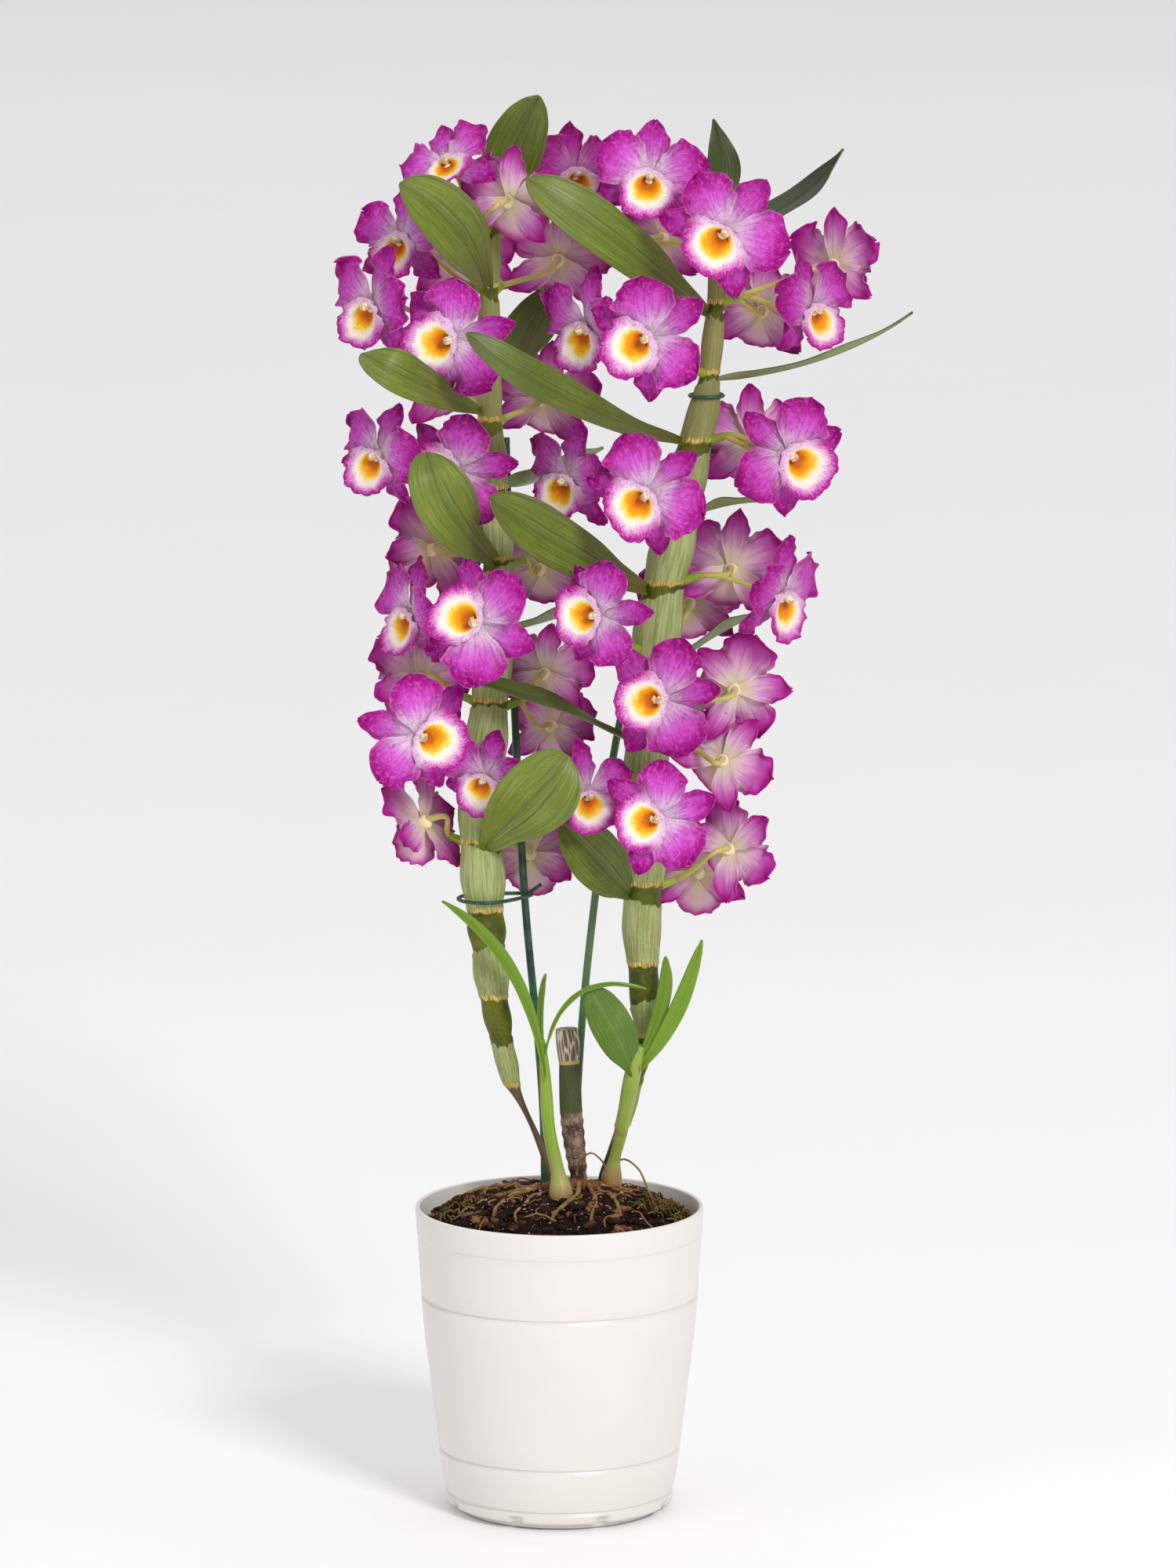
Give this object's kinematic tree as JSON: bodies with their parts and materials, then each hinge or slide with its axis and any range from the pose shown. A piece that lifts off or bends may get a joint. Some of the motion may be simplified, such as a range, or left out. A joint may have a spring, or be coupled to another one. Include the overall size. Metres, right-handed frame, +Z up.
{
  "type": "dendrobium orchid",
  "caption": "Flowering dendrobium orchid with upright leafy canes tied to stakes, magenta blooms in sprays, and a round white pot filled with bark mix.",
  "frame": {"origin": "centre of the pot's underside, the level it stands on", "axes": "+Z up along the pot's axis, -Y the pictured front, +X to the viewer's right"},
  "size_m": [0.2371, 0.1348, 0.5901],
  "materials": {
    "pot_plastic": "smooth white injection-moulded plastic with a soft sheen",
    "mix_bark": "damp dark bark and peat mix",
    "root_skin": "dry tan papery root skin",
    "cane_green": "olive cane in pale papery sheaths",
    "old_cane": "weathered old cane with a netted grey sheath",
    "shoot_green": "fresh bright green growth",
    "leaf_green": "satin olive-green leaf with fine parallel veins",
    "bloom_magenta": "thin matt petals, magenta fading to white, with a yellow throat",
    "stake_green": "dark green plastic-coated wire"
  },
  "bodies": {
    "root": {"cane_left": "cane_green", "cane_right": "cane_green", "leaf_left_10": "leaf_green", "leaf_left_12": "leaf_green", "leaf_left_2": "leaf_green", "leaf_left_5": "leaf_green", "leaf_left_6": "leaf_green", "leaf_left_8": "leaf_green", "leaf_left_9": "leaf_green", "leaf_left_top": "leaf_green", "leaf_right_10": "leaf_green", "leaf_right_11": "leaf_green", "leaf_right_12": "leaf_green", "leaf_right_13": "leaf_green", "leaf_right_14": "leaf_green", "leaf_right_5": "leaf_green", "leaf_right_7": "leaf_green", "leaf_right_7b": "leaf_green", "leaf_right_8": "leaf_green", "leaf_right_9": "leaf_green", "leaf_right_top": "leaf_green", "old_cane_stub": "old_cane", "pot": "pot_plastic", "potting_mix": "mix_bark", "roots": "root_skin", "shoot_front": "shoot_green", "shoot_right": "shoot_green", "spray_left_1": "bloom_magenta", "spray_left_10": "bloom_magenta", "spray_left_11": "bloom_magenta", "spray_left_12": "bloom_magenta", "spray_left_13": "bloom_magenta", "spray_left_14": "bloom_magenta", "spray_left_15": "bloom_magenta", "spray_left_2": "bloom_magenta", "spray_left_3": "bloom_magenta", "spray_left_4": "bloom_magenta", "spray_left_5": "bloom_magenta", "spray_left_6": "bloom_magenta", "spray_left_7": "bloom_magenta", "spray_left_8": "bloom_magenta", "spray_left_9": "bloom_magenta", "spray_right_1": "bloom_magenta", "spray_right_10": "bloom_magenta", "spray_right_11": "bloom_magenta", "spray_right_12": "bloom_magenta", "spray_right_2": "bloom_magenta", "spray_right_3": "bloom_magenta", "spray_right_4": "bloom_magenta", "spray_right_5": "bloom_magenta", "spray_right_6": "bloom_magenta", "spray_right_7": "bloom_magenta", "spray_right_8": "bloom_magenta", "spray_right_9": "bloom_magenta", "stake_left": "stake_green", "stake_right": "stake_green", "tie_lower": "stake_green", "tie_upper": "stake_green"}
  },
  "joints": []
}
